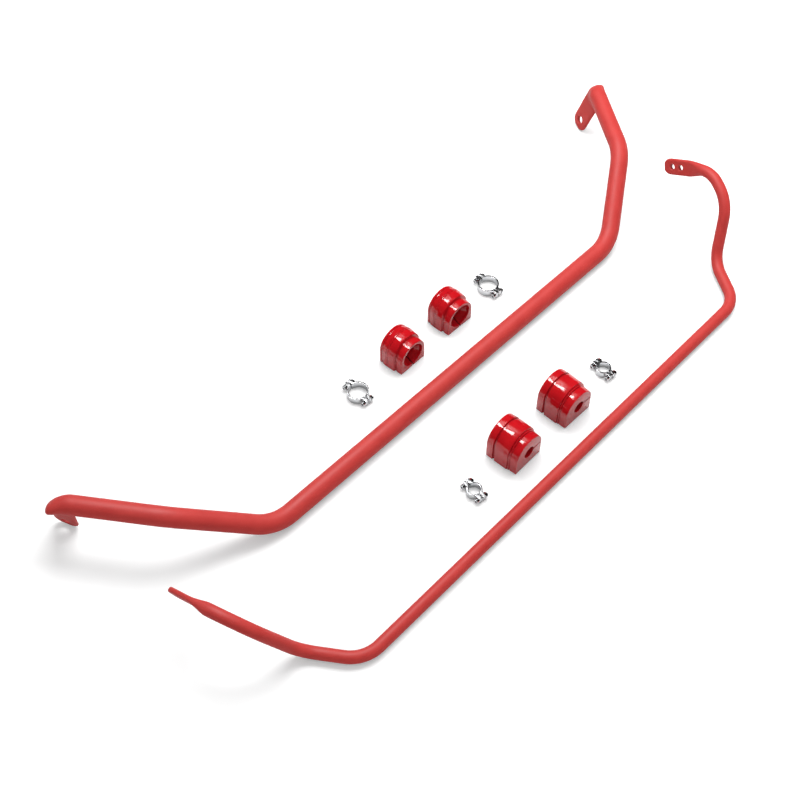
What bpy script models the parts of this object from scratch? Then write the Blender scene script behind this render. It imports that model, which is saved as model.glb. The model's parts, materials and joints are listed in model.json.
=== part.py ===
"""Sway bar kit laid out on a bench: two torsion bars, four bushes and four two-piece clamp collars.

Metres, +Z up. The bench is the plane z = 0. X runs along the front bar's straight middle, from its
left arm to its right arm, and Y runs from the middle towards the arm ends. The origin is on the bench
under the middle of the whole kit's box, 2.9 mm from the middle of the front bar.

Each bar is modelled as two half bars that meet at mid-span, so that it can twist there.
"""
import math
from collections import namedtuple

import bmesh
import bpy
from mathutils import Matrix, Vector

GAP = 0.0003                       # clearance between pieces that touch
SIDES_PER_QUARTER = 4              # points in each quarter of a bar's section
BEND_STEPS = 6                     # stations along each bend of a bar
FLATTEN_STEPS = 8                  # stations along the change from round to flat
TIP_STEPS = 5                      # stations along the round of a bar's tip
TIP_SWEEP = math.radians(79)       # how far round the tip its last section is
CLOSEST_STATIONS = 0.0015          # nearer sections than this are dropped
PLATE_EDGE_SHARE = 0.8             # rounding of a plate's edges, of half its thickness
TIP_EDGE_SHARE = 0.9               # and at most this share of half its width
RIDGE_ANGLE = math.radians(53)     # of the fold's outer edge, from across towards through
ARC_STEPS = 20                     # steps round the dome of a bush
HOLE_SIDES = 24                    # of the holes in the paddles
BORE_SIDES = 28                    # of the bushes' bores
COLLAR_ARC_STEPS = 12              # steps round half a collar
SCREW_SIDES = 16

RED_COAT = (0.56, 0.045, 0.040)
RED_RUBBER = (0.42, 0.006, 0.010)
ZINC = (0.72, 0.73, 0.74)

# A swelling of a bar's section near its last corner: its size, its distance past that corner and how
# far it spreads either way.
Swell = namedtuple("Swell", "size at spread")
NO_SWELL = Swell(0.0, 0.0, 1.0)

# A bar: corners of its centre line from mid-span outwards, relative to mid-span, for the right half.
# paddle_width_dir lies across the flattened end, flatten_from and flatten_to are distances before the
# last corner, and holes and tip_start are distances past it. plate_offset moves the flattened end
# through its thickness, shoulder widens it and ridge is the sharp outer edge of the fold.
Bar = namedtuple("Bar", "name radius corners bend_radii place yaw paddle_width paddle_thickness "
                 "paddle_width_dir flatten_from flatten_to plate_offset shoulder ridge "
                 "tip_start tip_length tip_power holes hole_radius")

FRONT_RADIUS = 0.015
FRONT_BAR = Bar(
    name="front_bar", radius=FRONT_RADIUS,
    corners=((0, 0, 0), (0.385, 0, 0), (0.5073, 0.0827, 0.0742), (0.5962, 0.2085, 0.0732),
             (0.5847, 0.2283, 0.0023)),
    bend_radii=(0.081, 0.083, 0.020), place=(0, 0.00286, FRONT_RADIUS), yaw=0.0,
    paddle_width=0.0384, paddle_thickness=0.0056, paddle_width_dir=(-0.415, -0.891, -0.181),
    flatten_from=0.0084, flatten_to=-0.0317, plate_offset=-0.0041,
    shoulder=Swell(0.0008, 0.0322, 0.0225), ridge=Swell(0.0125, 0.0104, 0.0096),
    tip_start=0.0745, tip_length=0.0160, tip_power=2.4, holes=(0.0745,), hole_radius=0.0067)

REAR_RADIUS = 0.0095
REAR_BAR = Bar(
    name="rear_bar", radius=REAR_RADIUS,
    corners=((0, 0, 0), (0.4373, 0, 0), (0.4882, 0.0749, 0), (0.5367, 0.1035, 0.0868),
             (0.5595, 0.1559, 0.1057), (0.5617, 0.2316, 0.0649)),
    bend_radii=(0.0545, 0.0433, 0.0678, 0.0498), place=(-0.0069, -0.23204, REAR_RADIUS),
    yaw=math.radians(0.91),
    paddle_width=0.0275, paddle_thickness=0.008, paddle_width_dir=(0.354, 0.436, 0.827),
    flatten_from=-0.012, flatten_to=-0.048, plate_offset=0.0, shoulder=NO_SWELL, ridge=NO_SWELL,
    tip_start=0.084, tip_length=0.0143, tip_power=2.6, holes=(0.0629, 0.0808), hole_radius=0.005)

# A bush: D sections along its bore, as (distance from the front face, half width, height) stations.
Bush = namedtuple("Bush", "names places yaws length rings bore_height bore_profile slit_angle")

FRONT_BUSH = Bush(
    names=("front_bush_left", "front_bush_right"),
    places=((-0.0235, 0.09236), (0.0872, 0.09236)), yaws=(math.radians(1.0), math.radians(-0.6)),
    length=0.045,
    rings=((0.0, 0.0270, 0.0520), (0.0095, 0.0276, 0.0530), (0.0105, 0.0266, 0.0516), (0.0130, 0.0266, 0.0516),
           (0.0142, 0.0298, 0.0572), (0.0265, 0.0306, 0.0590), (0.0272, 0.0299, 0.0581), (0.0279, 0.0306, 0.0590),
           (0.0293, 0.0306, 0.0590), (0.0300, 0.0299, 0.0581), (0.0307, 0.0306, 0.0590), (0.0375, 0.0300, 0.0578),
           (0.0385, 0.0288, 0.0562), (0.0402, 0.0288, 0.0562), (0.0412, 0.0298, 0.0574), (0.045, 0.0292, 0.0562)),
    bore_height=0.0262,
    bore_profile=((-0.001, 0.0208), (0.005, 0.0204), (0.012, 0.0153), (0.033, 0.0153), (0.040, 0.0204),
                  (0.046, 0.0208)),
    slit_angle=-math.pi / 2)

REAR_BUSH = Bush(
    names=("rear_bush_left", "rear_bush_right"),
    places=((-0.0394, -0.15564), (0.0778, -0.15564)), yaws=(math.radians(1.6), math.radians(-0.4)),
    length=0.057,
    rings=((0.0, 0.0293, 0.0575), (0.0118, 0.0297, 0.0582), (0.0124, 0.0289, 0.0573), (0.0130, 0.0289, 0.0573),
           (0.0136, 0.0303, 0.0595), (0.0150, 0.0305, 0.0600), (0.0156, 0.0297, 0.0590), (0.0162, 0.0297, 0.0590),
           (0.0168, 0.0316, 0.0622), (0.0405, 0.0318, 0.0630), (0.0412, 0.0289, 0.0600), (0.0440, 0.0289, 0.0600),
           (0.0448, 0.0317, 0.0632), (0.057, 0.0312, 0.0620)),
    bore_height=0.0280,
    bore_profile=((-0.001, 0.0102), (0.058, 0.0102)),
    slit_angle=0.0)

SLIT_WIDTH = 0.0022

# A clamp collar: two half rings with a lug at each end, split across X, drawn together by two screws.
Collar = namedtuple("Collar", "names places yaws inner_radius height")

FRONT_COLLAR = Collar(
    names=("front_collar_left", "front_collar_right"),
    places=((-0.1259, 0.09106), (0.1801, 0.09136)), yaws=(math.radians(-2.5), math.radians(-4.0)),
    inner_radius=0.0152, height=0.0130)
REAR_COLLAR = Collar(
    names=("rear_collar_left", "rear_collar_right"),
    places=((-0.1352, -0.16154), (0.1753, -0.15644)), yaws=(math.radians(-7.0), math.radians(-5.0)),
    inner_radius=0.0097, height=0.0120)

BAND_THICKNESS = 0.0026
SPLIT = 0.0020                     # gap between the two halves of a collar
LUG_THICKNESS = 0.0050             # along the screw
LUG_LENGTH = 0.0074                # how far a lug stands out from the band
LUG_CHAMFER = 0.0012
SCREW_OFFSET = 0.0038              # screw axis to the outside of the band
SHANK_RADIUS = 0.0023
CLEARANCE_RADIUS = 0.0026
HEAD_RADIUS = 0.0042
HEAD_HEIGHT = 0.0045
HEAD_CHAMFER = 0.0004
SOCKET_RADIUS = 0.0023
SOCKET_DEPTH = 0.0024
NUT_RADIUS = 0.0045                # across the corners, halved
NUT_HEIGHT = 0.0040
SCREW_PROUD = 0.0015               # thread that shows past the nut


def clear_scene():
    for obj in list(bpy.data.objects):
        bpy.data.objects.remove(obj, do_unlink=True)


def make_collection(name):
    collection = bpy.data.collections.new(name)
    bpy.context.scene.collection.children.link(collection)
    return collection


def make_material(name, colour, roughness, metallic):
    material = bpy.data.materials.new(name)
    material.use_nodes = True
    shader = material.node_tree.nodes["Principled BSDF"]
    shader.inputs["Base Color"].default_value = (*colour, 1.0)
    shader.inputs["Roughness"].default_value = roughness
    shader.inputs["Metallic"].default_value = metallic
    material.diffuse_color = (*colour, 1.0)
    return material


def add_object(name, data, collection, location, yaw=0.0, material=None):
    obj = bpy.data.objects.new(name, data)
    obj.location = location
    obj.rotation_euler.z = yaw
    if material is not None:
        data.materials.append(material)
    collection.objects.link(obj)
    return obj


def show_as_wire(obj):
    obj.hide_render = True
    obj.display_type = "WIRE"


def add_cutter(name, data, cutters):
    """A cutter is only ever seen as wire, and is placed by its caller."""
    cutter = bpy.data.objects.new(name, data)
    show_as_wire(cutter)
    cutters.objects.link(cutter)
    return cutter


def cut(obj, cutter):
    boolean = obj.modifiers.new("cut_" + cutter.name, "BOOLEAN")
    boolean.operation = "DIFFERENCE"
    boolean.solver = "EXACT"
    boolean.object = cutter


def finish_mesh(name, bm):
    bmesh.ops.recalc_face_normals(bm, faces=bm.faces)
    mesh = bpy.data.meshes.new(name)
    bm.to_mesh(mesh)
    bm.free()
    return mesh


def loft(name, rings):
    """Close a row of unlike sections, each a loop of as many points, into one solid."""
    bm = bmesh.new()
    loops = [[bm.verts.new(point) for point in ring] for ring in rings]
    for near, far in zip(loops, loops[1:]):
        for i in range(len(near)):
            j = (i + 1) % len(near)
            bm.faces.new((near[i], near[j], far[j], far[i]))
    bm.faces.new(loops[0])
    bm.faces.new(loops[-1])
    return finish_mesh(name, bm)


def cylinder_mesh(name, radius, length, sides):
    """A cylinder along Z, centred on its origin."""
    bm = bmesh.new()
    bmesh.ops.create_cone(bm, cap_ends=True, segments=sides, radius1=radius, radius2=radius, depth=length)
    return finish_mesh(name, bm)


def turned(name, profile, sides, collection):
    """Turn (radius, height) points about Z. The profile runs down its outer side from the top."""
    bm = bmesh.new()
    verts = [bm.verts.new((radius, 0, height)) for radius, height in profile]
    for a, b in zip(verts, verts[1:]):
        bm.edges.new((a, b))
    mesh = bpy.data.meshes.new(name)
    bm.to_mesh(mesh)
    bm.free()
    obj = bpy.data.objects.new(name, mesh)
    collection.objects.link(obj)
    screw = obj.modifiers.new("turn", "SCREW")
    screw.axis = "Z"
    screw.angle = math.tau
    screw.steps = sides
    screw.render_steps = sides
    screw.use_merge_vertices = True
    screw.merge_threshold = 0.00001
    return obj


# ---------------------------------------------------------------- bars

class CentreLine:
    """Straights joined by round bends: a bar's centre line, walked by distance."""

    def __init__(self, corners, bend_radii):
        corners = [Vector(corner) for corner in corners]
        self.pieces = []               # (length, point at distance, tangent at distance)
        self.stations = [0.0]
        start = corners[0]
        for before, corner, after, radius in zip(corners, corners[1:], corners[2:], bend_radii):
            into = (corner - before).normalized()
            out = (after - corner).normalized()
            turn = into.angle(out)
            trim = radius * math.tan(turn / 2)
            self.add_straight(start, corner - into * trim)
            self.add_bend(corner - into * trim, into, out, turn, radius)
            start = corner + out * trim
            self.last_trim = trim
        self.last_corner = self.length() - self.last_trim
        self.add_straight(start, corners[-1])

    def length(self):
        return sum(piece[0] for piece in self.pieces)

    def add_straight(self, start, end):
        direction = (end - start).normalized()
        self.pieces.append(((end - start).length, lambda d: start + direction * d, lambda d: direction))
        self.stations.append(self.length())

    def add_bend(self, start, into, out, turn, radius):
        axis = into.cross(out).normalized()
        centre = start + axis.cross(into) * radius

        def point(d):
            return centre + Matrix.Rotation(d / radius, 3, axis) @ (start - centre)

        def tangent(d):
            return Matrix.Rotation(d / radius, 3, axis) @ into

        before = self.length()
        self.pieces.append((turn * radius, point, tangent))
        self.stations += [before + turn * radius * k / BEND_STEPS for k in range(1, BEND_STEPS + 1)]

    def at(self, distance):
        """Point and tangent at a distance; past the end the last straight runs on."""
        for length, point, tangent in self.pieces[:-1]:
            if distance <= length:
                return point(distance), tangent(distance)
            distance -= length
        _, point, tangent = self.pieces[-1]
        return point(distance), tangent(distance)


def bar_section(radius, half_width, half_thickness, flatness):
    """Loop of (across, through) points, from a circle at flatness 0 to a rounded bar at 1."""
    corner = min(PLATE_EDGE_SHARE * half_thickness, TIP_EDGE_SHARE * half_width)
    points = []
    steps = 4 * SIDES_PER_QUARTER
    for i in range(steps):
        quarter, step = divmod(i, SIDES_PER_QUARTER)
        angle = math.tau * (i + 0.5) / steps
        round_point = Vector((math.cos(angle), math.sin(angle))) * radius
        corner_angle = (quarter + step / (SIDES_PER_QUARTER - 1)) * math.pi / 2
        side_x = 1 if quarter in (0, 3) else -1
        side_y = 1 if quarter in (0, 1) else -1
        flat_point = Vector((side_x * (half_width - corner) + corner * math.cos(corner_angle),
                             side_y * (half_thickness - corner) + corner * math.sin(corner_angle)))
        points.append(round_point.lerp(flat_point, flatness))
    return points


def smoothstep(value):
    value = min(1.0, max(0.0, value))
    return value * value * (3 - 2 * value)


def swelling(swell, past_corner):
    return swell.size * math.exp(-((past_corner - swell.at) / swell.spread) ** 2)


def raise_ridge(section, height):
    """Push out the points of a section that face the way of the fold's outer edge."""
    way = Vector((-math.cos(RIDGE_ANGLE), -math.sin(RIDGE_ANGLE)))
    return [point + way * height * max(0.0, point.normalized().dot(way)) ** 3 for point in section]


def bar_stations(bar, line):
    """Distances of the sections: bends, the flattening, and the round of the tip."""
    corner = line.last_corner
    flattening = [corner - bar.flatten_from + (bar.flatten_from - bar.flatten_to) * k / FLATTEN_STEPS
                  for k in range(FLATTEN_STEPS + 1)]
    rounding = [corner + bar.tip_start + bar.tip_length * math.sin(TIP_SWEEP * k / TIP_STEPS)
                for k in range(TIP_STEPS + 1)]
    stations = [GAP / 2]
    for distance in sorted(line.stations[1:-1] + flattening + rounding):
        if distance - stations[-1] > CLOSEST_STATIONS:
            stations.append(distance)
    return stations


def bar_rings(bar, side):
    """Sections of one half bar. side is 1 for the right half and -1 for the left."""
    line = CentreLine(bar.corners, bar.bend_radii)
    stations = bar_stations(bar, line)
    frames = [line.at(distance) for distance in stations]
    end_tangent = frames[-1][1]
    across = Vector(bar.paddle_width_dir)
    across = (across - end_tangent * across.dot(end_tangent)).normalized()
    rings = []
    tangent_after = end_tangent
    for distance, (point, tangent) in zip(reversed(stations), reversed(frames)):
        across = tangent_after.rotation_difference(tangent) @ across
        tangent_after = tangent
        through = tangent.cross(across).normalized()
        past_corner = distance - line.last_corner
        flatness = smoothstep((past_corner + bar.flatten_from) / (bar.flatten_from - bar.flatten_to))
        into_tip = max(0.0, past_corner - bar.tip_start) / bar.tip_length
        narrowing = (1 - min(0.999, into_tip) ** bar.tip_power) ** (1 / bar.tip_power)
        half_width = (bar.paddle_width / 2 + swelling(bar.shoulder, past_corner)) * narrowing
        section = bar_section(bar.radius, half_width, bar.paddle_thickness / 2, flatness)
        section = raise_ridge(section, swelling(bar.ridge, past_corner))
        centre = point + through * bar.plate_offset * flatness
        ring = [centre + across * x + through * y for x, y in section]
        rings.append([(side * p.x, p.y, p.z) for p in ring])
    return rings


def paddle_frame(bar, side):
    """The last corner of the centre line, the way along the paddle and the way through it."""
    last, end = Vector(bar.corners[-2]), Vector(bar.corners[-1])
    along = (end - last).normalized()
    across = Vector(bar.paddle_width_dir)
    across = (across - along * across.dot(along)).normalized()
    through = along.cross(across)
    mirror = Matrix.Diagonal((side, 1, 1))
    return mirror @ last, mirror @ along, mirror @ through


def build_half_bar(bar, side, parts, cutters, material):
    name = bar.name + ("_right" if side > 0 else "_left")
    obj = add_object(name, loft(name, bar_rings(bar, side)), parts, bar.place, bar.yaw, material)
    placing = Matrix.Translation(bar.place) @ Matrix.Rotation(bar.yaw, 4, "Z")
    last, along, through = paddle_frame(bar, side)
    for number, distance in enumerate(bar.holes, start=1):
        drill = cylinder_mesh(name + "_drill", bar.hole_radius, 4 * bar.paddle_thickness, HOLE_SIDES)
        cutter = add_cutter("{}_drill_{}".format(name, number), drill, cutters)
        turn = through.to_track_quat("Z", "Y").to_matrix().to_4x4()
        cutter.matrix_world = placing @ Matrix.Translation(last + along * distance) @ turn
        cut(obj, cutter)


# ---------------------------------------------------------------- bushes

def bush_section(radius, height, y):
    """A D on its flat: square foot, upright flanks and a round dome."""
    axis_height = height - radius
    points = [(-radius, y, 0.0)]
    for k in range(ARC_STEPS + 1):
        angle = math.pi * (1 - k / ARC_STEPS)
        points.append((radius * math.cos(angle), y, axis_height + radius * math.sin(angle)))
    points.append((radius, y, 0.0))
    return points


def build_bush(bush, number, parts, cutters, material):
    name = bush.names[number]
    front = -bush.length / 2
    rings = [bush_section(half_width, height, front + y) for y, half_width, height in bush.rings]
    place = (*bush.places[number], 0.0)
    obj = add_object(name, loft(name, rings), parts, place, bush.yaws[number], material)
    placing = Matrix.Translation(place) @ Matrix.Rotation(bush.yaws[number], 4, "Z")
    at_bore = placing @ Matrix.Translation((0, 0, bush.bore_height))

    low, high = bush.bore_profile[0][0], bush.bore_profile[-1][0]
    profile = [(0, high)] + [(radius, y) for y, radius in reversed(bush.bore_profile)] + [(0, low)]
    bore = turned(name + "_bore", profile, BORE_SIDES, cutters)
    show_as_wire(bore)
    bore.matrix_world = at_bore @ Matrix.Translation((0, front, 0)) @ Matrix.Rotation(-math.pi / 2, 4, "X")
    cut(obj, bore)

    reach = 2 * bush.bore_height
    bm = bmesh.new()
    bmesh.ops.create_cube(bm, size=1.0)
    bmesh.ops.scale(bm, vec=(reach, 2 * bush.length, SLIT_WIDTH), verts=bm.verts)
    bmesh.ops.translate(bm, vec=(reach / 2, 0, 0), verts=bm.verts)
    slit = add_cutter(name + "_slit", finish_mesh(name + "_slit", bm), cutters)
    slit.matrix_world = at_bore @ Matrix.Rotation(-bush.slit_angle, 4, "Y")
    cut(obj, slit)


# ---------------------------------------------------------------- collars

def half_collar_outline(inner_radius, side):
    """Outline of one half ring with its two lugs. side is 1 for the half at +X."""
    outer_radius = inner_radius + BAND_THICKNESS
    face = SPLIT / 2
    back = face + LUG_THICKNESS
    end = outer_radius + LUG_LENGTH
    inner_angle = math.acos(face / inner_radius)
    outer_angle = math.acos(back / outer_radius)
    points = [(inner_radius * math.cos(a), inner_radius * math.sin(a))
              for a in (inner_angle * (2 * k / COLLAR_ARC_STEPS - 1) for k in range(COLLAR_ARC_STEPS + 1))]
    points += [(face, end), (back - LUG_CHAMFER, end), (back, end - LUG_CHAMFER)]
    points += [(outer_radius * math.cos(a), outer_radius * math.sin(a))
               for a in (outer_angle * (1 - 2 * k / COLLAR_ARC_STEPS) for k in range(COLLAR_ARC_STEPS + 1))]
    points += [(back, LUG_CHAMFER - end), (back - LUG_CHAMFER, -end), (face, -end)]
    return [(side * x, y) for x, y in points]


def flat_outline(name, outlines, thickness):
    """A flat plate as a 2D curve: the first outline is its edge and any other is a hole."""
    curve = bpy.data.curves.new(name, "CURVE")
    curve.dimensions = "2D"
    curve.fill_mode = "BOTH"
    curve.extrude = thickness / 2
    for outline in outlines:
        spline = curve.splines.new("POLY")
        spline.points.add(len(outline) - 1)
        for point, (x, y) in zip(spline.points, outline):
            point.co = (x, y, 0, 1)
        spline.use_cyclic_u = True
    return curve


def curve_to_mesh(curve_obj, collection, material):
    """Swap a curve for a closed mesh of the same name, place and material."""
    name = curve_obj.name
    bpy.context.view_layer.update()
    evaluated = curve_obj.evaluated_get(bpy.context.evaluated_depsgraph_get())
    mesh = bpy.data.meshes.new_from_object(evaluated)
    bm = bmesh.new()
    bm.from_mesh(mesh)
    bmesh.ops.remove_doubles(bm, verts=bm.verts, dist=0.000001)
    bmesh.ops.recalc_face_normals(bm, faces=bm.faces)
    bm.to_mesh(mesh)
    bm.free()
    matrix = curve_obj.matrix_world.copy()
    bpy.data.objects.remove(curve_obj, do_unlink=True)
    mesh.materials.clear()
    mesh.materials.append(material)
    obj = bpy.data.objects.new(name, mesh)
    obj.matrix_world = matrix
    collection.objects.link(obj)
    return obj


def regular_outline(radius, sides):
    return [(radius * math.cos(math.tau * k / sides), radius * math.sin(math.tau * k / sides))
            for k in range(sides)]


def build_screw(name, matrix, parts, cutters, material):
    """A socket cap screw along +X, with its origin on its axis under the head."""
    shank_length = SPLIT + 2 * LUG_THICKNESS + 2 * GAP + NUT_HEIGHT + SCREW_PROUD
    profile = [(0, HEAD_HEIGHT), (HEAD_RADIUS - HEAD_CHAMFER, HEAD_HEIGHT),
               (HEAD_RADIUS, HEAD_HEIGHT - HEAD_CHAMFER), (HEAD_RADIUS, 0), (SHANK_RADIUS, 0),
               (SHANK_RADIUS, -shank_length + HEAD_CHAMFER),
               (SHANK_RADIUS - HEAD_CHAMFER, -shank_length), (0, -shank_length)]
    screw = turned(name, profile, SCREW_SIDES, parts)
    screw.data.materials.append(material)
    screw.matrix_world = matrix @ Matrix.Rotation(-math.pi / 2, 4, "Y")
    socket = add_cutter(name + "_socket", cylinder_mesh(name + "_socket", SOCKET_RADIUS,
                                                        2 * SOCKET_DEPTH, 6), cutters)
    socket.matrix_world = screw.matrix_world @ Matrix.Translation((0, 0, HEAD_HEIGHT))
    cut(screw, socket)


def build_nut(name, matrix, parts, material):
    outlines = [regular_outline(NUT_RADIUS, 6), regular_outline(CLEARANCE_RADIUS, SCREW_SIDES)]
    curve = add_object(name, flat_outline(name, outlines, NUT_HEIGHT), parts, (0, 0, 0))
    curve.matrix_world = matrix @ Matrix.Rotation(math.pi / 2, 4, "Y")
    curve_to_mesh(curve, parts, material)


def build_collar(collar, number, parts, cutters, material):
    name = collar.names[number]
    place = (*collar.places[number], collar.height / 2)
    placing = Matrix.Translation(place) @ Matrix.Rotation(collar.yaws[number], 4, "Z")
    halves = []
    for half, side in (("_head_half", -1), ("_nut_half", 1)):
        outline = half_collar_outline(collar.inner_radius, side)
        curve = add_object(name + half, flat_outline(name + half, [outline], collar.height), parts, place,
                           collar.yaws[number])
        halves.append(curve_to_mesh(curve, parts, material))

    screw_y = collar.inner_radius + BAND_THICKNESS + SCREW_OFFSET
    lug_back = SPLIT / 2 + LUG_THICKNESS
    for screw_number, y in ((1, screw_y), (2, -screw_y)):
        suffix = "_{}".format(screw_number)
        drill = cylinder_mesh(name + "_drill", CLEARANCE_RADIUS, 4 * lug_back, SCREW_SIDES)
        cutter = add_cutter(name + "_drill" + suffix, drill, cutters)
        cutter.matrix_world = placing @ Matrix.Translation((0, y, 0)) @ Matrix.Rotation(math.pi / 2, 4, "Y")
        for half in halves:
            cut(half, cutter)
        at_head = placing @ Matrix.Translation((-lug_back - GAP, y, 0))
        build_screw(name + "_screw" + suffix, at_head, parts, cutters, material)
        at_nut = placing @ Matrix.Translation((lug_back + GAP + NUT_HEIGHT / 2, y, 0))
        build_nut(name + "_nut" + suffix, at_nut, parts, material)


def main():
    clear_scene()
    parts = make_collection("sway_bar_kit")
    cutters = make_collection("cutters")
    coat = make_material("red_powder_coat", RED_COAT, 0.55, 0.0)
    rubber = make_material("red_polyurethane", RED_RUBBER, 0.15, 0.0)
    zinc = make_material("bright_zinc", ZINC, 0.25, 1.0)
    for bar in (FRONT_BAR, REAR_BAR):
        for side in (-1, 1):
            build_half_bar(bar, side, parts, cutters, coat)
    for number in (0, 1):
        build_bush(FRONT_BUSH, number, parts, cutters, rubber)
        build_bush(REAR_BUSH, number, parts, cutters, rubber)
        build_collar(FRONT_COLLAR, number, parts, cutters, zinc)
        build_collar(REAR_COLLAR, number, parts, cutters, zinc)


main()
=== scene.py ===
import json
import math
from collections import namedtuple

import bmesh
import bpy
from mathutils import Matrix, Vector

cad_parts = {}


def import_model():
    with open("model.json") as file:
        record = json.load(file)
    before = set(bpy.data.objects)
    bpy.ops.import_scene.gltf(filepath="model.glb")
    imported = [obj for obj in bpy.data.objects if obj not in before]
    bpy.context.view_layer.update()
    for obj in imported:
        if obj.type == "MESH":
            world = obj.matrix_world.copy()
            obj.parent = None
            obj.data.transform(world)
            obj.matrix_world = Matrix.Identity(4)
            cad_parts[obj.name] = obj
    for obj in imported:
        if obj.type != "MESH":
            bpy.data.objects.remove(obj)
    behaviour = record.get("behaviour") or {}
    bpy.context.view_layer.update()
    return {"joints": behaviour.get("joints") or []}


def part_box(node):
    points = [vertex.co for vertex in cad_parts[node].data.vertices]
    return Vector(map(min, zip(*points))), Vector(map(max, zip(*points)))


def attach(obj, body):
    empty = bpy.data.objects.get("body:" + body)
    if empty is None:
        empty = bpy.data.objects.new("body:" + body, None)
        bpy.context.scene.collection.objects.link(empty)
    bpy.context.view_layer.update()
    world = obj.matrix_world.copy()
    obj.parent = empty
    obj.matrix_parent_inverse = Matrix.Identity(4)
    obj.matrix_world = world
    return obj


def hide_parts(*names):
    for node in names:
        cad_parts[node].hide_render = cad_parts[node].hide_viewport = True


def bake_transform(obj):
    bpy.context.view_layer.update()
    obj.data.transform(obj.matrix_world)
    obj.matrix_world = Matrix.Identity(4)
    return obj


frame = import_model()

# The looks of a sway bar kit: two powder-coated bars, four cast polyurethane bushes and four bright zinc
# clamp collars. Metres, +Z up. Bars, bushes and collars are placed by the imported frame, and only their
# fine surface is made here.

JOINTS = {joint["name"]: joint for joint in frame["joints"]}

# ---------------------------------------------------------------- dimensions

Swell = namedtuple("Swell", "size at spread")
NO_SWELL = Swell(0.0, 0.0, 1.0)

# A bar's right half from mid-span outwards, relative to mid-span. Distances along the flattened end are
# from the last corner of its centre line.
Bar = namedtuple("Bar", "name radius corners bend_radii paddle_width paddle_thickness paddle_width_dir "
                 "flatten_from flatten_to plate_offset shoulder ridge tip_start tip_length tip_power "
                 "holes hole_radius")
FRONT_BAR = Bar(
    name="front_bar", radius=0.015,
    corners=((0, 0, 0), (0.385, 0, 0), (0.5073, 0.0827, 0.0742), (0.5962, 0.2085, 0.0732),
             (0.5847, 0.2283, 0.0023)),
    bend_radii=(0.081, 0.083, 0.020),
    paddle_width=0.0384, paddle_thickness=0.0056, paddle_width_dir=(-0.415, -0.891, -0.181),
    flatten_from=0.0084, flatten_to=-0.0317, plate_offset=-0.0041,
    shoulder=Swell(0.0008, 0.0322, 0.0225), ridge=Swell(0.0125, 0.0104, 0.0096),
    tip_start=0.0745, tip_length=0.0160, tip_power=2.4, holes=(0.0745,), hole_radius=0.0067)
REAR_BAR = Bar(
    name="rear_bar", radius=0.0095,
    corners=((0, 0, 0), (0.4373, 0, 0), (0.4882, 0.0749, 0), (0.5367, 0.1035, 0.0868),
             (0.5595, 0.1559, 0.1057), (0.5617, 0.2316, 0.0649)),
    bend_radii=(0.0545, 0.0433, 0.0678, 0.0498),
    paddle_width=0.0275, paddle_thickness=0.008, paddle_width_dir=(0.354, 0.436, 0.827),
    flatten_from=-0.012, flatten_to=-0.048, plate_offset=0.0, shoulder=NO_SWELL, ridge=NO_SWELL,
    tip_start=0.084, tip_length=0.0143, tip_power=2.6, holes=(0.0629, 0.0808), hole_radius=0.005)

RIDGE_ANGLE = math.radians(53)     # of the fold's outer edge, from across towards through
BAR_SIDES = 72
STATION_STEP = 0.004               # between sections of a bar, and at most this at its ends
PADDLE_EDGE = 0.0022               # rounding round the edge of a paddle
HOLE_CHAMFER = 0.0007
HOLE_SIDES = 48

# A bush: (distance from the front face, half width, height) stations,
# and a bore of (distance, radius) stations.
Bush = namedtuple("Bush", "names yaws length rings bore_height bore slit_angle")
FRONT_BUSH = Bush(
    names=("front_bush_left", "front_bush_right"), yaws=(math.radians(1.0), math.radians(-0.6)),
    length=0.045,
    rings=((0.0, 0.0270, 0.0520), (0.0095, 0.0276, 0.0530), (0.0105, 0.0266, 0.0516),
           (0.0130, 0.0266, 0.0516), (0.0142, 0.0298, 0.0572), (0.0265, 0.0306, 0.0590),
           (0.0272, 0.0299, 0.0581), (0.0279, 0.0306, 0.0590), (0.0293, 0.0306, 0.0590),
           (0.0300, 0.0299, 0.0581), (0.0307, 0.0306, 0.0590), (0.0375, 0.0300, 0.0578),
           (0.0385, 0.0288, 0.0562), (0.0402, 0.0288, 0.0562), (0.0412, 0.0298, 0.0574),
           (0.045, 0.0292, 0.0562)),
    bore_height=0.0262,
    bore=((-0.001, 0.0208), (0.005, 0.0204), (0.012, 0.0153), (0.033, 0.0153), (0.040, 0.0204),
          (0.046, 0.0208)),
    slit_angle=-math.pi / 2)
REAR_BUSH = Bush(
    names=("rear_bush_left", "rear_bush_right"), yaws=(math.radians(1.6), math.radians(-0.4)),
    length=0.057,
    rings=((0.0, 0.0293, 0.0575), (0.0118, 0.0297, 0.0582), (0.0124, 0.0289, 0.0573),
           (0.0130, 0.0289, 0.0573), (0.0136, 0.0303, 0.0595), (0.0150, 0.0305, 0.0600),
           (0.0156, 0.0297, 0.0590), (0.0162, 0.0297, 0.0590), (0.0168, 0.0316, 0.0622),
           (0.0405, 0.0318, 0.0630), (0.0412, 0.0289, 0.0600), (0.0440, 0.0289, 0.0600),
           (0.0448, 0.0317, 0.0632), (0.057, 0.0312, 0.0620)),
    bore_height=0.0280,
    bore=((-0.001, 0.0102), (0.058, 0.0102)),
    slit_angle=0.0)
BUSH_EDGE = 0.0007                 # rounding of a bush's end edges
GROOVE_EDGE = 0.00025              # rounding of its grooves
FOOT_EDGE = 0.0010                 # rounding along its foot
DOME_STEPS = 96
SLIT_WIDTH = 0.0022
MOUTH_EDGE = 0.0006                # rounding where the bore meets an end face
BORE_SIDES = 120
BORE_EDGE = 0.0012                 # rounding of the corners along a bore
BORE_OVERRUN = 0.0020              # how far its cutter runs past each end face
EDGE_STEPS = 5                     # steps round each of those roundings

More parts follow.
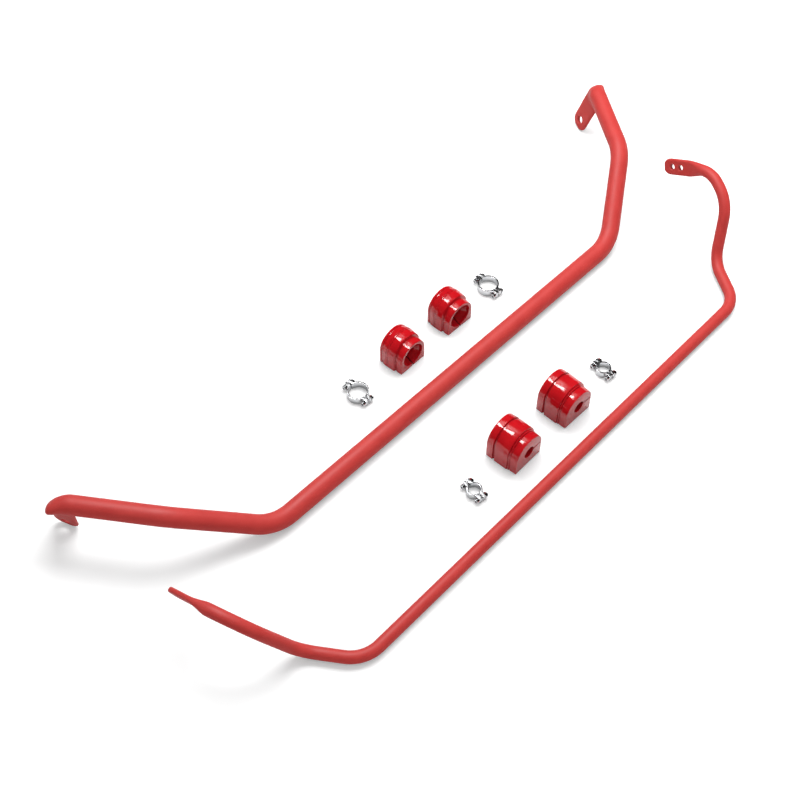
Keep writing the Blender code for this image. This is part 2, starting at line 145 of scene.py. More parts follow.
Collar = namedtuple("Collar", "names inner_radius height")
FRONT_COLLAR = Collar(("front_collar_left", "front_collar_right"), 0.0152, 0.0130)
REAR_COLLAR = Collar(("rear_collar_left", "rear_collar_right"), 0.0097, 0.0120)
BAND_THICKNESS = 0.0026
SPLIT = 0.0020
LUG_THICKNESS = 0.0050
LUG_LENGTH = 0.0074
LUG_EDGE = 0.0012
LUG_FILLET = 0.0016                # where a lug runs into the band
DRILL_CHAMFER = 0.0003
COLLAR_EDGE = 0.0004
COLLAR_STEPS = 48
GAP = 0.0003

SHANK_RADIUS = 0.0023
CLEARANCE_RADIUS = 0.0026
HEAD_RADIUS = 0.0042
HEAD_HEIGHT = 0.0045
HEAD_EDGE = 0.0004
SOCKET_RADIUS = 0.0023
SOCKET_DEPTH = 0.0024
THREAD_PITCH = 0.0008
THREAD_DEPTH = 0.00045
THREAD_STEPS = 6                   # sections along each turn of the thread
NUT_RADIUS = 0.0045
NUT_HEIGHT = 0.0040
NUT_CHAMFER = 0.0005
NUT_BORE_RADIUS = 0.0025
NUT_FACE_SHARE = 0.88              # of its radius that its end faces keep
SCREW_PROUD = 0.0015
SCREW_SIDES = 48
NUT_SIDES = 96


# ---------------------------------------------------------------- mesh tools

def smoothstep(value):
    value = min(1.0, max(0.0, value))
    return value * value * (3 - 2 * value)


def add_object(name, data):
    obj = bpy.data.objects.new(name, data)
    bpy.context.scene.collection.objects.link(obj)
    return obj


def mesh_from_bmesh(name, bm):
    bmesh.ops.recalc_face_normals(bm, faces=bm.faces)
    mesh = bpy.data.meshes.new(name)
    bm.to_mesh(mesh)
    bm.free()
    return mesh


def loft(name, rings):
    """Close a row of sections, each a loop of as many points, into one solid."""
    bm = bmesh.new()
    loops = [[bm.verts.new(point) for point in ring] for ring in rings]
    for near, far in zip(loops, loops[1:]):
        for i in range(len(near)):
            j = (i + 1) % len(near)
            bm.faces.new((near[i], near[j], far[j], far[i]))
    bm.faces.new(loops[0])
    bm.faces.new(loops[-1])
    return mesh_from_bmesh(name, bm)


def turned(name, profile, sides):
    """Turn (radius, height) points about Z. A radius of 0 closes the shape on its axis."""
    bm = bmesh.new()
    loops = []
    for radius, height in profile:
        if radius == 0:
            loops.append([bm.verts.new((0, 0, height))] * sides)
        else:
            loops.append([bm.verts.new((radius * math.cos(math.tau * k / sides),
                                        radius * math.sin(math.tau * k / sides), height))
                          for k in range(sides)])
    for near, far in zip(loops, loops[1:]):
        for i in range(sides):
            j = (i + 1) % sides
            corners = dict.fromkeys((near[i], near[j], far[j], far[i]))
            bm.faces.new(tuple(corners))
    return mesh_from_bmesh(name, bm)


def rounded(points, radius, steps=4):
    """An open polyline of 2D points with each inner corner rounded."""
    points = [Vector(point) for point in points]
    result = [points[0]]
    for before, corner, after in zip(points, points[1:], points[2:]):
        into, out = (before - corner), (after - corner)
        reach = min(radius, 0.45 * into.length, 0.45 * out.length)
        start = corner + into.normalized() * reach
        end = corner + out.normalized() * reach
        for k in range(steps + 1):
            t = k / steps
            result.append(start.lerp(corner, t).lerp(corner.lerp(end, t), t))
    result.append(points[-1])
    return [tuple(point) for point in result]


def cut(obj, *cutters):
    """Cut cutters out of obj for good, and drop them."""
    for cutter in cutters:
        boolean = obj.modifiers.new("cut", "BOOLEAN")
        boolean.operation = "DIFFERENCE"
        boolean.solver = "EXACT"
        boolean.object = cutter
    bake(obj)
    for cutter in cutters:
        bpy.data.objects.remove(cutter, do_unlink=True)


def bake(obj):
    """Swap obj's mesh for what its modifiers make of it."""
    bpy.context.view_layer.update()
    evaluated = obj.evaluated_get(bpy.context.evaluated_depsgraph_get())
    mesh = bpy.data.meshes.new_from_object(evaluated)
    obj.modifiers.clear()
    obj.data = mesh


def shade(obj, angle=32):
    obj.data.shade_smooth()
    obj.data.set_sharp_from_angle(angle=math.radians(angle))


def finish_piece(obj, material, node, body):
    """Give obj its look, let it stand for its CAD node and ride on its body."""
    obj.data.materials.clear()
    obj.data.materials.append(material)
    shade(obj)
    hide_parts(node)
    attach(obj, body)


# ---------------------------------------------------------------- bars

class CentreLine:
    """Straights joined by round bends, walked by distance."""

    def __init__(self, corners, bend_radii):
        corners = [Vector(corner) for corner in corners]
        self.pieces = []               # (length, point at distance, tangent at distance)
        start = corners[0]
        for before, corner, after, radius in zip(corners, corners[1:], corners[2:], bend_radii):
            into = (corner - before).normalized()
            out = (after - corner).normalized()
            turn = into.angle(out)
            trim = radius * math.tan(turn / 2)
            self.add_straight(start, corner - into * trim)
            self.add_bend(corner - into * trim, into, out, turn, radius)
            start = corner + out * trim
        self.last_corner = self.length() - trim
        self.add_straight(start, corners[-1])

    def length(self):
        return sum(piece[0] for piece in self.pieces)

    def add_straight(self, start, end):
        direction = (end - start).normalized()
        self.pieces.append(((end - start).length, lambda d: start + direction * d, lambda d: direction))

    def add_bend(self, start, into, out, turn, radius):
        axis = into.cross(out).normalized()
        centre = start + axis.cross(into) * radius

        def point(d):
            return centre + Matrix.Rotation(d / radius, 3, axis) @ (start - centre)

        def tangent(d):
            return Matrix.Rotation(d / radius, 3, axis) @ into

        self.pieces.append((turn * radius, point, tangent))

    def at(self, distance):
        for length, point, tangent in self.pieces[:-1]:
            if distance <= length:
                return point(distance), tangent(distance)
            distance -= length
        _, point, tangent = self.pieces[-1]
        return point(distance), tangent(distance)


def bar_section(radius, half_width, half_thickness, flatness):
    """Loop of (across, through) points, from a circle at flatness 0 to a soft-edged plate at 1."""
    points = []
    for i in range(BAR_SIDES):
        angle = math.tau * (i + 0.5) / BAR_SIDES
        c, s = math.cos(angle), math.sin(angle)
        flat_x = math.copysign(abs(c) ** 0.5, c) * half_width
        flat_y = math.copysign(min(1.0, 1.12 * abs(s) ** 0.62), s) * half_thickness
        points.append(Vector((radius * c, radius * s)).lerp(Vector((flat_x, flat_y)), flatness))
    return points


def swelling(swell, past_corner):
    return swell.size * math.exp(-((past_corner - swell.at) / swell.spread) ** 2)


def raise_ridge(section, height):
    """Push out the points of a section that face the way of the fold's outer edge."""
    way = Vector((-math.cos(RIDGE_ANGLE), -math.sin(RIDGE_ANGLE)))
    return [point + way * height * max(0.0, point.normalized().dot(way)) ** 3 for point in section]


def bar_stations(bar, line):
    start_of_end = line.last_corner - bar.radius * 3
    stations = []
    distance = 0.0
    for length, _, _ in line.pieces[:-2]:
        steps = math.ceil(length / (4 * STATION_STEP if len(stations) == 0 else STATION_STEP))
        stations += [distance + length * k / steps for k in range(steps)]
        distance += length
    stations = [s for s in stations if s < start_of_end]
    tip = line.last_corner + bar.tip_start
    steps = math.ceil((tip - start_of_end) / (0.4 * STATION_STEP))
    stations += [start_of_end + (tip - start_of_end) * k / steps for k in range(steps)]
    stations += [tip + bar.tip_length * math.sin(math.radians(angle)) for angle in range(0, 90, 4)]
    return stations


def tip_shape(bar, past_corner):
    """(width, thickness) shares left at a distance into the round of the tip."""
    into = min(0.9995, max(0.0, past_corner - bar.tip_start) / bar.tip_length)
    width = (1 - into ** bar.tip_power) ** (1 / bar.tip_power)
    edge = PADDLE_EDGE / bar.tip_length
    over = max(0.0, into - (1 - edge)) / edge
    loss = PADDLE_EDGE * (1 - math.sqrt(1 - over * over)) / (bar.paddle_thickness / 2)
    return width, 1 - loss


def half_bar_rings(bar):
    """Sections of the right half, from mid-span to the tip."""
    line = CentreLine(bar.corners, bar.bend_radii)
    stations = bar_stations(bar, line)
    frames = [line.at(distance) for distance in stations]
    tangent_after = frames[-1][1]
    across = Vector(bar.paddle_width_dir)
    across = (across - tangent_after * across.dot(tangent_after)).normalized()
    rings = []
    for distance, (point, tangent) in zip(reversed(stations), reversed(frames)):
        across = tangent_after.rotation_difference(tangent) @ across
        tangent_after = tangent
        through = tangent.cross(across).normalized()
        past_corner = distance - line.last_corner
        flatness = smoothstep((past_corner + bar.flatten_from) / (bar.flatten_from - bar.flatten_to))
        width_share, thickness_share = tip_shape(bar, past_corner)
        half_width = (bar.paddle_width / 2 + swelling(bar.shoulder, past_corner)) * width_share
        section = bar_section(bar.radius, half_width, bar.paddle_thickness / 2 * thickness_share, flatness)
        section = raise_ridge(section, swelling(bar.ridge, past_corner))
        centre = point + through * bar.plate_offset * flatness
        rings.append([centre + across * x + through * y for x, y in section])
    return rings[::-1]


def paddle_frame(bar, side):
    """The last corner of the centre line, the way along the paddle and the way through it."""
    last, end = Vector(bar.corners[-2]), Vector(bar.corners[-1])
    along = (end - last).normalized()
    across = Vector(bar.paddle_width_dir)
    across = (across - along * across.dot(along)).normalized()
    through = along.cross(across)
    mirror = Matrix.Diagonal((side, 1, 1))
    return mirror @ (last + through * bar.plate_offset), mirror @ along, mirror @ through


def build_bar(bar, material):
    """One skin over both half bars."""
    right = half_bar_rings(bar)
    left = [[Vector((-p.x, p.y, p.z)) for p in ring] for ring in reversed(right[1:])]
    skin = add_object(bar.name + "_skin", loft(bar.name + "_skin", left + right))

    twist = JOINTS[bar.name + "_twist"]
    axis = Vector(twist["axis"]).normalized()
    placing = Matrix.Translation(twist["pos_m"]) @ Matrix.Rotation(math.atan2(axis.y, axis.x), 4, "Z")
    skin.matrix_world = placing

    half = bar.paddle_thickness / 2
    reach = 3 * half
    profile = [(0, reach), (bar.hole_radius + HOLE_CHAMFER + (reach - half), reach),
               (bar.hole_radius, half - HOLE_CHAMFER), (bar.hole_radius, HOLE_CHAMFER - half),
               (bar.hole_radius + HOLE_CHAMFER + (reach - half), -reach), (0, -reach)]
    drills = []
    for side in (-1, 1):
        last, along, through = paddle_frame(bar, side)
        for distance in bar.holes:
            drill = add_object("drill", turned("drill", profile, HOLE_SIDES))
            turn = through.to_track_quat("Z", "Y").to_matrix().to_4x4()
            drill.matrix_world = placing @ Matrix.Translation(last + along * distance) @ turn
            drills.append(drill)
    cut(skin, *drills)

    skin.data.materials.clear()
    skin.data.materials.append(material)
    shade(skin)
    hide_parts(bar.name + "_left", bar.name + "_right")
    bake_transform(skin)


# ---------------------------------------------------------------- bushes

def bush_section(radius, height, inset, y):
    """A D on its flat: a foot with rounded edges, upright flanks and a round dome."""
    axis_height = height - radius
    radius -= inset
    edge = FOOT_EDGE
    left = []
    for k in range(5):
        angle = math.pi / 2 * k / 4
        left.append((-radius + edge - edge * math.sin(angle), y, inset + edge - edge * math.cos(angle)))
    dome = [(radius * math.cos(angle), y, axis_height + radius * math.sin(angle))
            for angle in (math.pi * (1 - k / DOME_STEPS) for k in range(DOME_STEPS + 1))]
    right = [(-x, y, z) for x, y, z in reversed(left)]
    return left + dome + right


def bush_stations(bush):
    """(distance from the front face, half width, height, inset), with end edges and grooves rounded."""
    rings = rounded(bush.rings, GROOVE_EDGE, 3)
    stations = []
    for k in range(EDGE_STEPS + 1):
        angle = math.pi / 2 * k / EDGE_STEPS
        stations.append((BUSH_EDGE * (1 - math.cos(angle)), *rings[0][1:], BUSH_EDGE * (1 - math.sin(angle))))
    stations += [(*ring, 0.0) for ring in rings[1:-1]]
    for k in reversed(range(EDGE_STEPS + 1)):
        angle = math.pi / 2 * k / EDGE_STEPS
        stations.append((bush.length - BUSH_EDGE * (1 - math.cos(angle)), *rings[-1][1:],
                         BUSH_EDGE * (1 - math.sin(angle))))
    return stations


def bush_bore(bush):
    """The bore's cutter profile, with the mouths' edges rolled outwards."""
    points = [(radius, y) for y, radius in bush.bore]
    front, back = points[0][0], points[-1][0]
    flare = []
    for k in range(EDGE_STEPS + 1):
        angle = math.pi / 2 * k / EDGE_STEPS
        flare.append((MOUTH_EDGE * (1 - math.sin(angle)), MOUTH_EDGE * (1 - math.cos(angle))))
    mouth_front = [(front + out, y) for out, y in flare]
    mouth_back = [(back + out, bush.length - y) for out, y in reversed(flare)]
    inner = rounded([mouth_front[-1]] + points[1:-1] + [mouth_back[0]], BORE_EDGE, 4)
    near, far = -BORE_OVERRUN, bush.length + BORE_OVERRUN
    return ([(0, near), (mouth_front[0][0], near)] + mouth_front + inner[1:-1] + mouth_back +
            [(mouth_back[-1][0], far), (0, far)])


def build_bush(bush, number, material):
    name = bush.names[number]
    low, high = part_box(name)
    place = Vector(((low.x + high.x) / 2, (low.y + high.y) / 2, 0))
    front = -bush.length / 2
    rings = [bush_section(half_width, height, inset, front + y)
             for y, half_width, height, inset in bush_stations(bush)]
    skin = add_object(name + "_skin", loft(name + "_skin", rings))
    placing = Matrix.Translation(place) @ Matrix.Rotation(bush.yaws[number], 4, "Z")
    skin.matrix_world = placing

    at_bore = placing @ Matrix.Translation((0, 0, bush.bore_height))
    bore = add_object("bore", turned("bore", bush_bore(bush), BORE_SIDES))
    bore.matrix_world = at_bore @ Matrix.Translation((0, front, 0)) @ Matrix.Rotation(-math.pi / 2, 4, "X")
    reach = 2 * bush.bore_height
    bm = bmesh.new()
    bmesh.ops.create_cube(bm, size=1.0)
    bmesh.ops.scale(bm, vec=(reach, 2 * bush.length, SLIT_WIDTH), verts=bm.verts)
    bmesh.ops.translate(bm, vec=(reach / 2, 0, 0), verts=bm.verts)
    slit = add_object("slit", mesh_from_bmesh("slit", bm))
    slit.matrix_world = at_bore @ Matrix.Rotation(-bush.slit_angle, 4, "Y")
    cut(skin, bore, slit)
    finish_piece(skin, material, name, name)


# ---------------------------------------------------------------- collars

def half_collar_outline(inner_radius, side):
    """Outline of one half ring with its two lugs. side is 1 for the nut half."""
    outer_radius = inner_radius + BAND_THICKNESS
    face = SPLIT / 2
    back = face + LUG_THICKNESS
    end = outer_radius + LUG_LENGTH
    inner_angle = math.acos(face / inner_radius)
    outer_angle = math.acos(back / outer_radius)
    inner = [(inner_radius * math.cos(a), inner_radius * math.sin(a))
             for a in (inner_angle * (2 * k / COLLAR_STEPS - 1) for k in range(COLLAR_STEPS + 1))]
    foot = Vector((back, outer_radius * math.sin(outer_angle)))
    lug = rounded([(face, end - LUG_EDGE), (face, end), (back, end), tuple(foot)], LUG_EDGE, 4)[1:-1]
    arc_end = outer_angle - 0.10
    outer = [(outer_radius * math.cos(a), outer_radius * math.sin(a))
             for a in (arc_end * (1 - 2 * k / COLLAR_STEPS) for k in range(COLLAR_STEPS + 1))]
    fillet = []
    for k in range(1, 5):
        t = k / 5
        start = Vector((back, foot.y + LUG_FILLET))
        finish = Vector(outer[0])
        fillet.append(tuple(start.lerp(foot, t).lerp(foot.lerp(finish, t), t)))
    top = lug + [(back, foot.y + LUG_FILLET)] + fillet
    bottom = [(x, -y) for x, y in reversed(top)]
    return [(side * x, y) for x, y in inner + top + outer + bottom]


def plate(name, outline, height):
    """A flat outline raised to a height about z 0, with its edges eased."""
    bm = bmesh.new()
    face = bm.faces.new([bm.verts.new((x, y, -height / 2)) for x, y in outline])
    raised = bmesh.ops.extrude_face_region(bm, geom=[face])
    verts = [v for v in raised["geom"] if isinstance(v, bmesh.types.BMVert)]
    bmesh.ops.translate(bm, vec=(0, 0, height), verts=verts)
    bmesh.ops.recalc_face_normals(bm, faces=bm.faces)
    rims = [e for e in bm.edges if abs(e.verts[0].co.z - e.verts[1].co.z) < 1e-6]
    bmesh.ops.bevel(bm, geom=rims, offset=COLLAR_EDGE, segments=3, profile=0.5, affect="EDGES")
    return mesh_from_bmesh(name, bm)


def hole_cutter(radius, half_length, chamfer):
    """A drill along Z that eases the rims at both ends of what it passes through."""
    reach = half_length * 2
    wide = radius + chamfer + reach - half_length
    return [(0, reach), (wide, reach), (radius, half_length - chamfer), (radius, chamfer - half_length),
            (wide, -reach), (0, -reach)]


def screw_mesh(name):
    """A socket cap screw along -Z from under its head, with a rolled thread."""
    length = SPLIT + 2 * LUG_THICKNESS + 2 * GAP + NUT_HEIGHT + SCREW_PROUD
    head = rounded([(0, HEAD_HEIGHT), (HEAD_RADIUS, HEAD_HEIGHT), (HEAD_RADIUS, 0), (SHANK_RADIUS, 0)],
                   HEAD_EDGE, 4)
    rows = [(radius, height, 0.0) for radius, height in head]
    steps = round(length / THREAD_PITCH * THREAD_STEPS)
    for k in range(1, steps + 1):
        height = -length * k / steps
        fade = min(1.0, (length + height) / THREAD_PITCH, -height / THREAD_PITCH)
        rows.append((SHANK_RADIUS - (1 - fade) * HEAD_EDGE, height, THREAD_DEPTH * fade))
    rows.append((0, -length, 0.0))
    bm = bmesh.new()
    loops = []
    for radius, height, depth in rows:
        ring = []
        for k in range(SCREW_SIDES):
            turn = (height / THREAD_PITCH + k / SCREW_SIDES) % 1.0
            r = radius - depth * abs(2 * turn - 1) if radius else 0.0
            angle = math.tau * k / SCREW_SIDES
            ring.append((r * math.cos(angle), r * math.sin(angle), height))
        if radius == 0:
            loops.append([bm.verts.new(ring[0])] * SCREW_SIDES)
        else:
            loops.append([bm.verts.new(point) for point in ring])
    for near, far in zip(loops, loops[1:]):
        for i in range(SCREW_SIDES):
            j = (i + 1) % SCREW_SIDES
            bm.faces.new(tuple(dict.fromkeys((near[i], near[j], far[j], far[i]))))
    return mesh_from_bmesh(name, bm)


def hexagon(radius):
    return [(radius * math.cos(math.tau * k / 6), radius * math.sin(math.tau * k / 6)) for k in range(6)]


def hex_prism(name, radius, height):
    bm = bmesh.new()
    face = bm.faces.new([bm.verts.new((x, y, -height / 2)) for x, y in hexagon(radius)])
    raised = bmesh.ops.extrude_face_region(bm, geom=[face])
    verts = [v for v in raised["geom"] if isinstance(v, bmesh.types.BMVert)]
    bmesh.ops.translate(bm, vec=(0, 0, height), verts=verts)
    return mesh_from_bmesh(name, bm)


def build_screw(name, matrix, body, material):
    screw = add_object(name + "_skin", screw_mesh(name + "_skin"))
    screw.matrix_world = matrix @ Matrix.Rotation(-math.pi / 2, 4, "Y")
    socket = add_object("socket", hex_prism("socket", SOCKET_RADIUS, 2 * SOCKET_DEPTH))
    socket.matrix_world = screw.matrix_world @ Matrix.Translation((0, 0, HEAD_HEIGHT))
    mouth = add_object("mouth", turned("mouth", [(0, 0.001), (SOCKET_RADIUS + 0.001, 0.001),
                                                 (SOCKET_RADIUS - 0.0004, -0.0004), (0, -0.0004)], SCREW_SIDES))
    mouth.matrix_world = socket.matrix_world
    cut(screw, socket, mouth)
    finish_piece(screw, material, name, body)


def build_nut(name, matrix, body, material):
    nut = add_object(name + "_skin", hex_prism(name + "_skin", NUT_RADIUS, NUT_HEIGHT))
    nut.matrix_world = matrix @ Matrix.Rotation(math.pi / 2, 4, "Y")
    barrel_radius = NUT_RADIUS + NUT_CHAMFER
    half = NUT_HEIGHT / 2
    barrel = add_object("barrel", turned("barrel", [
        (0, half), (NUT_RADIUS * NUT_FACE_SHARE, half), (barrel_radius, half - 2.2 * NUT_CHAMFER),
        (barrel_radius, 2.2 * NUT_CHAMFER - half), (NUT_RADIUS * NUT_FACE_SHARE, -half), (0, -half)], NUT_SIDES))
    barrel.matrix_world = nut.matrix_world
    common = nut.modifiers.new("barrel", "BOOLEAN")
    common.operation = "INTERSECT"
    common.solver = "EXACT"
    common.object = barrel
    cutter = hole_cutter(NUT_BORE_RADIUS, half, DRILL_CHAMFER)
    bore = add_object("bore", turned("bore", cutter, SCREW_SIDES))
    bore.matrix_world = nut.matrix_world
    cut(nut, bore)
    bpy.data.objects.remove(barrel, do_unlink=True)
    finish_piece(nut, material, name, body)


def build_collar(collar, number, material):
    name = collar.names[number]
    first = Vector(JOINTS[name + "_screw_1_turn"]["pos_m"])
    second = Vector(JOINTS[name + "_screw_2_turn"]["pos_m"])
    way = Vector(JOINTS[name + "_opening"]["axis"])
    placing = Matrix.Translation((first + second) / 2) @ Matrix.Rotation(math.atan2(way.y, way.x), 4, "Z")
    screw_y = (first - second).length / 2
    lug_back = SPLIT / 2 + LUG_THICKNESS
    for half, side in (("_head_half", -1), ("_nut_half", 1)):
        node = name + half
        skin = add_object(node + "_skin", plate(node + "_skin", half_collar_outline(collar.inner_radius, side),
                                                collar.height))
        skin.matrix_world = placing
        drills = []
        for y in (screw_y, -screw_y):
            drill = add_object("drill", turned("drill", hole_cutter(CLEARANCE_RADIUS, LUG_THICKNESS / 2,
                                                                    DRILL_CHAMFER), SCREW_SIDES))
            middle = side * (SPLIT / 2 + LUG_THICKNESS / 2)
            drill.matrix_world = (placing @ Matrix.Translation((middle, y, 0)) @
                                  Matrix.Rotation(math.pi / 2, 4, "Y"))
            drills.append(drill)
        cut(skin, *drills)
        finish_piece(skin, material, node, node)
    for count, y in ((1, screw_y), (2, -screw_y)):
        at_head = placing @ Matrix.Translation((-lug_back - GAP, y, 0))
        build_screw("{}_screw_{}".format(name, count), at_head, "{}_screw_{}".format(name, count), material)
        at_nut = placing @ Matrix.Translation((lug_back + GAP + NUT_HEIGHT / 2, y, 0))
        build_nut("{}_nut_{}".format(name, count), at_nut, name + "_nut_half", material)


# ---------------------------------------------------------------- materials

class Shader:
    """A node material built up by name, with a Principled shader at its end."""

    def __init__(self, name):
        self.material = bpy.data.materials.new(name)
        self.material.use_nodes = True
        self.tree = self.material.node_tree
        self.principled = self.tree.nodes["Principled BSDF"]
        self.position = self.node("ShaderNodeNewGeometry").outputs["Position"]

    def node(self, kind, **settings):
        made = self.tree.nodes.new(kind)
        for key, value in settings.items():
            setattr(made, key, value)
        return made

    def feed(self, socket, value):
        if isinstance(value, bpy.types.NodeSocket):
            self.tree.links.new(value, socket)
        else:
            socket.default_value = value

    def set(self, **inputs):
        for key, value in inputs.items():
            self.feed(self.principled.inputs[key.replace("_", " ")], value)

    def scaled(self, scale):
        """The place on the surface, stretched by a scale for each axis."""
        mapping = self.node("ShaderNodeMapping")
        self.feed(mapping.inputs["Vector"], self.position)
        mapping.inputs["Scale"].default_value = scale
        return mapping.outputs["Vector"]

    def noise(self, scale, detail=4.0, roughness=0.5, vector=None):
        made = self.node("ShaderNodeTexNoise")
        self.feed(made.inputs["Vector"], self.position if vector is None else vector)
        made.inputs["Scale"].default_value = scale
        made.inputs["Detail"].default_value = detail
        made.inputs["Roughness"].default_value = roughness
        return made.outputs["Fac"]

    def cells(self, scale):
        made = self.node("ShaderNodeTexVoronoi", feature="F1")
        self.feed(made.inputs["Vector"], self.position)
        made.inputs["Scale"].default_value = scale
        return made.outputs["Distance"]

    def ray(self, kind):
        """1 where the surface is being seen by a kind of ray, such as "Is Diffuse Ray"."""
        return self.node("ShaderNodeLightPath").outputs[kind]

    def remap(self, value, low, high, new_low, new_high):
        made = self.node("ShaderNodeMapRange")
        self.feed(made.inputs["Value"], value)
        for key, number in (("From Min", low), ("From Max", high), ("To Min", new_low), ("To Max", new_high)):
            made.inputs[key].default_value = number
        return made.outputs["Result"]

    def mix(self, factor, first, second):
        made = self.node("ShaderNodeMix", data_type="RGBA")
        self.feed(made.inputs[0], factor)
        self.feed(made.inputs[6], first)
        self.feed(made.inputs[7], second)
        return made.outputs[2]

    def math(self, operation, first, second):
        made = self.node("ShaderNodeMath", operation=operation)
        self.feed(made.inputs[0], first)
        self.feed(made.inputs[1], second)
        return made.outputs[0]

    def bump(self, height, strength, distance, normal=None):
        made = self.node("ShaderNodeBump")
        self.feed(made.inputs["Height"], height)
        made.inputs["Strength"].default_value = strength
        made.inputs["Distance"].default_value = distance
        if normal is not None:
            self.feed(made.inputs["Normal"], normal)
        return made.outputs["Normal"]


COAT_DARK = (0.50, 0.034, 0.030, 1)
COAT_PALE = (0.58, 0.046, 0.040, 1)
COAT_STREAK = (0.52, 0.032, 0.028, 1)
COAT_GRAIN = (0.62, 0.064, 0.056, 1)
COAT_SPECK = (0.74, 0.16, 0.14, 1)
RUBBER_DARK = (0.47, 0.005, 0.010, 1)
RUBBER_PALE = (0.58, 0.009, 0.014, 1)
ZINC_DULL = (0.58, 0.59, 0.61, 1)
ZINC_BRIGHT = (0.72, 0.72, 0.72, 1)
ZINC_SPANGLE = (0.46, 0.48, 0.51, 1)
# Colours that the red pieces throw on their surroundings: paler than the pieces, so shadows stay grey.
COAT_BOUNCE = (0.26, 0.16, 0.16, 1)
RUBBER_BOUNCE = (0.16, 0.08, 0.09, 1)


def red_coat():
    """Fine-grained matte powder coat: a pebbled skin, faint mottling and a few pale specks."""
    shader = Shader("red_powder_coat")
    grain = shader.noise(1400.0, 3.0, 0.6)
    mottle = shader.noise(38.0, 4.0, 0.6)
    streak = shader.noise(6.0, 5.0, 0.6)
    base = shader.mix(shader.remap(mottle, 0.3, 0.7, 0.0, 1.0), COAT_DARK, COAT_PALE)
    base = shader.mix(shader.remap(streak, 0.35, 0.7, 0.0, 0.5), base, COAT_STREAK)
    base = shader.mix(shader.remap(grain, 0.35, 0.65, 0.0, 0.35), base, COAT_GRAIN)
    specks = shader.remap(shader.cells(260.0), 0.05, 0.09, 0.55, 0.0)
    base = shader.mix(specks, base, COAT_SPECK)
    base = shader.mix(shader.ray("Is Diffuse Ray"), base, COAT_BOUNCE)
    pebbles = shader.bump(shader.cells(900.0), 0.35, 0.0003)
    normal = shader.bump(grain, 0.30, 0.0003, pebbles)
    shader.set(Base_Color=base, Roughness=shader.remap(mottle, 0.3, 0.7, 0.46, 0.60), Normal=normal)
    shader.set(Specular_IOR_Level=0.20)
    return shader.material


def red_polyurethane():
    """Glossy cast polyurethane: deep red, slightly cloudy, with faint flow marks and handling dulls."""
    shader = Shader("red_polyurethane")
    cloud = shader.noise(55.0, 4.0, 0.6)
    fine = shader.noise(420.0, 3.0, 0.6)
    flow = shader.noise(1.0, 4.0, 0.6, shader.scaled((60.0, 900.0, 60.0)))
    base = shader.mix(shader.remap(cloud, 0.3, 0.7, 0.0, 1.0), RUBBER_DARK, RUBBER_PALE)
    normal = shader.bump(flow, 0.03, 0.0001)
    normal = shader.bump(cloud, 0.02, 0.0006, normal)
    base = shader.mix(shader.ray("Is Diffuse Ray"), base, RUBBER_BOUNCE)
    shader.set(Base_Color=base, Roughness=shader.remap(fine, 0.35, 0.7, 0.07, 0.13), Normal=normal)
    return shader.material


def bright_zinc():
    """Bright zinc plate: pale cool metal with fine scratches, dull patches and faint spangle."""
    shader = Shader("bright_zinc")
    patch = shader.noise(180.0, 4.0, 0.6)
    scratch = shader.noise(1.0, 5.0, 0.7, shader.scaled((300.0, 300.0, 4200.0)))
    spangle = shader.cells(520.0)
    base = shader.mix(shader.remap(patch, 0.3, 0.7, 0.0, 1.0), ZINC_DULL, ZINC_BRIGHT)
    base = shader.mix(shader.remap(spangle, 0.0, 0.7, 0.0, 0.25), base, ZINC_SPANGLE)
    normal = shader.bump(scratch, 0.12, 0.0001)
    normal = shader.bump(patch, 0.06, 0.0003, normal)
    shader.set(Base_Color=base, Metallic=1.0, Roughness=shader.remap(patch, 0.3, 0.7, 0.10, 0.22),
               Normal=normal)
    return shader.material


# ---------------------------------------------------------------- studio

FLOOR_SIZE = 30.0
VIEW_AIM = Vector((-0.0872, 0.03716, 0.0))
VIEW_AZIMUTH = math.radians(46.19)     # from +Y towards +X
VIEW_ELEVATION = math.radians(53.49)
VIEW_DISTANCE = 2.1946
LENS = 63.23
SENSOR = 36.0

# A softbox: where it hangs, as shares of its height, its sides and its power. The key lights surfaces and
# casts the shadows, and the glint is the one that shows in glossy surfaces.
Softbox = namedtuple("Softbox", "name x y width depth power turn")
SOFTBOX_HEIGHT = 2.2
KEY = Softbox("key_softbox", 0.405, 0.202, 2.2, 1.25, 60.0, -VIEW_AZIMUTH)
GLINT = Softbox("glint_softbox", 0.08, 0.36, 1.50, 0.95, 125.0, 0.0)

AMBIENT = 0.60
DARK_STUDIO = 0.01
FLOOR_DULLER = (0.90, 0.90, 0.90, 1)
FLOOR_WHITE = (0.92, 0.92, 0.92, 1)
FLOOR_DROP = 0.0002                        # below the pieces' feet
FLOOR_UNDERFOOT = (0.60, 0.60, 0.60, 1)    # as it lights the undersides of the pieces
FLOOR_FAR = (0.10, 0.10, 0.10, 1)          # as it shows in glossy surfaces, far off
FLOOR_GLOW = 0.20                          # lifts the shadows for the eye alone
FLOOR_NEAR_RADIUS = 0.75
FLOOR_FAR_RADIUS = 1.5


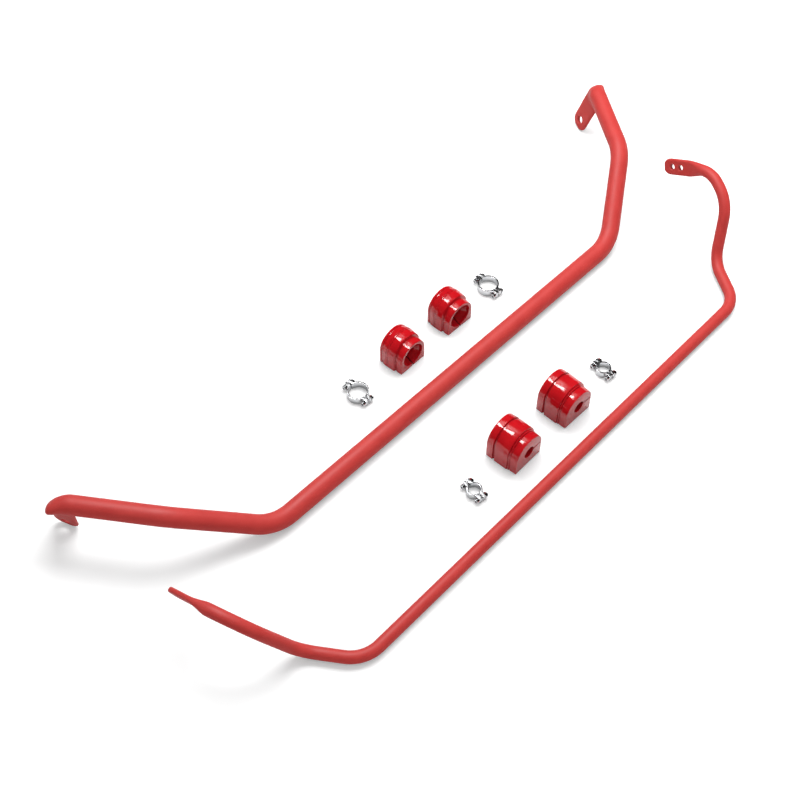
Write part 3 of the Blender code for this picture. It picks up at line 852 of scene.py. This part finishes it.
def white_floor():
    shader = Shader("white_floor")
    soft = shader.noise(3.0, 3.0, 0.5)
    base = shader.mix(shader.remap(soft, 0.3, 0.7, 0.0, 1.0), FLOOR_DULLER, FLOOR_WHITE)
    reach = shader.node("ShaderNodeVectorMath", operation="LENGTH")
    shader.feed(reach.inputs[0], shader.position)
    fade = shader.remap(reach.outputs["Value"], FLOOR_NEAR_RADIUS, FLOOR_FAR_RADIUS, 0.0, 1.0)
    base = shader.mix(shader.ray("Is Glossy Ray"), base, shader.mix(fade, FLOOR_WHITE, FLOOR_FAR))
    base = shader.mix(shader.ray("Is Diffuse Ray"), base, FLOOR_UNDERFOOT)
    shader.set(Base_Color=base, Roughness=0.9, Specular_IOR_Level=0.0)
    glow = shader.math("MULTIPLY", shader.ray("Is Camera Ray"), FLOOR_GLOW)
    shader.set(Emission_Color=(1, 1, 1, 1), Emission_Strength=glow)
    bm = bmesh.new()
    bmesh.ops.create_grid(bm, x_segments=1, y_segments=1, size=FLOOR_SIZE / 2)
    floor = add_object("floor", mesh_from_bmesh("floor", bm))
    floor.location.z = -FLOOR_DROP
    floor.data.materials.append(shader.material)


def world():
    """Pale all round for the eye and for diffuse light, but a dark room in glossy reflections."""
    made = bpy.data.worlds.new("studio")
    made.use_nodes = True
    tree = made.node_tree
    tree.nodes.clear()
    path = tree.nodes.new("ShaderNodeLightPath")
    bright = tree.nodes.new("ShaderNodeBackground")
    bright.inputs["Color"].default_value = (1, 1, 1, 1)
    bright.inputs["Strength"].default_value = AMBIENT
    dark = tree.nodes.new("ShaderNodeBackground")
    dark.inputs["Color"].default_value = (1, 1, 1, 1)
    dark.inputs["Strength"].default_value = DARK_STUDIO
    blend = tree.nodes.new("ShaderNodeMixShader")
    out = tree.nodes.new("ShaderNodeOutputWorld")
    tree.links.new(path.outputs["Is Glossy Ray"], blend.inputs[0])
    tree.links.new(bright.outputs[0], blend.inputs[1])
    tree.links.new(dark.outputs[0], blend.inputs[2])
    tree.links.new(blend.outputs[0], out.inputs[0])
    bpy.context.scene.world = made


def softbox(box, in_reflections):
    light = bpy.data.lights.new(box.name, "AREA")
    light.shape = "RECTANGLE"
    light.size = box.width
    light.size_y = box.depth
    light.energy = box.power
    lamp = add_object(box.name, light)
    lamp.location = Vector((box.x, box.y, 1.0)) * SOFTBOX_HEIGHT
    lamp.rotation_euler = (0, 0, box.turn)
    lamp.visible_glossy = in_reflections
    lamp.visible_diffuse = not in_reflections


def camera():
    data = bpy.data.cameras.new("camera")
    data.sensor_width = SENSOR
    data.lens = LENS
    data.clip_end = 100
    cam = add_object("camera", data)
    flat = math.cos(VIEW_ELEVATION)
    look = Vector((flat * math.sin(VIEW_AZIMUTH), flat * math.cos(VIEW_AZIMUTH), -math.sin(VIEW_ELEVATION)))
    cam.location = VIEW_AIM - look * VIEW_DISTANCE
    cam.rotation_euler = look.to_track_quat("-Z", "Y").to_euler()
    bpy.context.scene.camera = cam


def main():
    coat = red_coat()
    rubber = red_polyurethane()
    zinc = bright_zinc()
    for bar in (FRONT_BAR, REAR_BAR):
        build_bar(bar, coat)
    for number in (0, 1):
        build_bush(FRONT_BUSH, number, rubber)
        build_bush(REAR_BUSH, number, rubber)
        build_collar(FRONT_COLLAR, number, zinc)
        build_collar(REAR_COLLAR, number, zinc)
    white_floor()
    world()
    softbox(KEY, False)
    softbox(GLINT, True)
    camera()
    bpy.context.scene.view_settings.view_transform = "Standard"


main()
